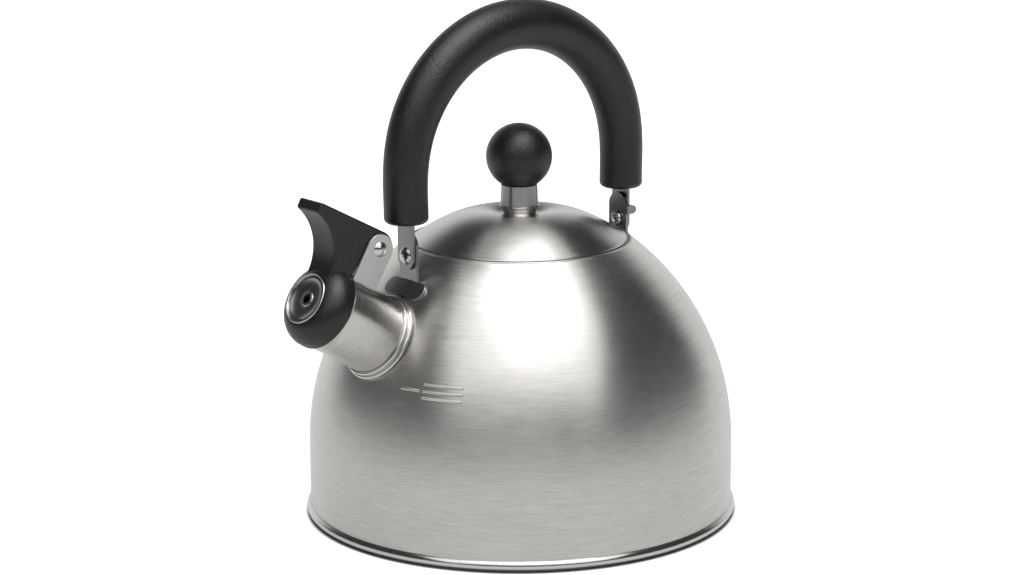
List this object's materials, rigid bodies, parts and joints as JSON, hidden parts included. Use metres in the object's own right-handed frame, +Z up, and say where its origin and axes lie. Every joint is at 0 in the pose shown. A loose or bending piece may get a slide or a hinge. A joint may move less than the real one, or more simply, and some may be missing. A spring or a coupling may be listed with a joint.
{
  "type": "stovetop whistling kettle",
  "caption": "Domed stainless stovetop kettle with a hinged whistle cap on its spout, a folding arch handle and a lift-off lid with a ball knob.",
  "frame": {"origin": "centre of the flat base, on the body's axis", "axes": "+Z up along the body's axis, -X towards the spout, so the handle's arch lies in the XZ plane"},
  "size_m": [0.2038, 0.18, 0.2149],
  "materials": {
    "brushed_shell": "fine hairline brushing round the body",
    "brushed_lid": "fine hairline brushing round the lid",
    "spout_steel": "hairline brushing round the spout's axis",
    "satin_steel": "satin, straight-grained strip",
    "polished_steel": "polished",
    "ferrule_steel": "turned, half bright",
    "whistle_steel": "bright pressed",
    "rivet_steel": "bright, slightly worn",
    "spring_steel": "drawn wire",
    "brass": "machined",
    "satin_black": "satin moulded",
    "textured_black": "fine moulded texture"
  },
  "bodies": {
    "kettle": {"body_shell": "brushed_shell", "base_pan": "polished_steel", "spout_tube": "spout_steel", "spout_collar": "polished_steel", "spout_bracket": "satin_steel", "lever_pin": "rivet_steel", "front_lug": "satin_steel", "rear_lug": "satin_steel", "handle_rivets": "rivet_steel", "lever_spring": "spring_steel"},
    "whistle_cap": {"whistle_lever": "satin_black", "whistle_cup": "whistle_steel", "whistle_front_disc": "whistle_steel", "whistle_rear_disc": "whistle_steel"},
    "handle": {"handle_grip": "textured_black", "handle_band": "satin_steel"},
    "lid": {"lid_shell": "brushed_lid", "lid_skirt": "satin_steel", "lid_ferrule": "ferrule_steel", "lid_knob": "textured_black", "knob_insert": "brass", "knob_screw": "rivet_steel", "screw_washer": "rivet_steel"}
  },
  "joints": [
    {"name": "handle_fold", "type": "hinge", "parent": "kettle", "child": "handle", "pos_m": [0, 0, 0.1164], "axis": [-1, 0, 0], "range_deg": [0, 85]},
    {"name": "whistle_open", "type": "hinge", "parent": "kettle", "child": "whistle_cap", "pos_m": [-0.07756, 0, 0.12326], "axis": [0, 1, 0], "range_deg": [0, 42], "stiffness_Nm_per_rad": 0.05, "springref_deg": -34.38, "deforming": ["lever_spring"]},
    {"name": "lid_lift", "type": "slide", "parent": "kettle", "child": "lid", "axis": [0, 0, 1], "range_m": [0, 0.024]}
  ]
}
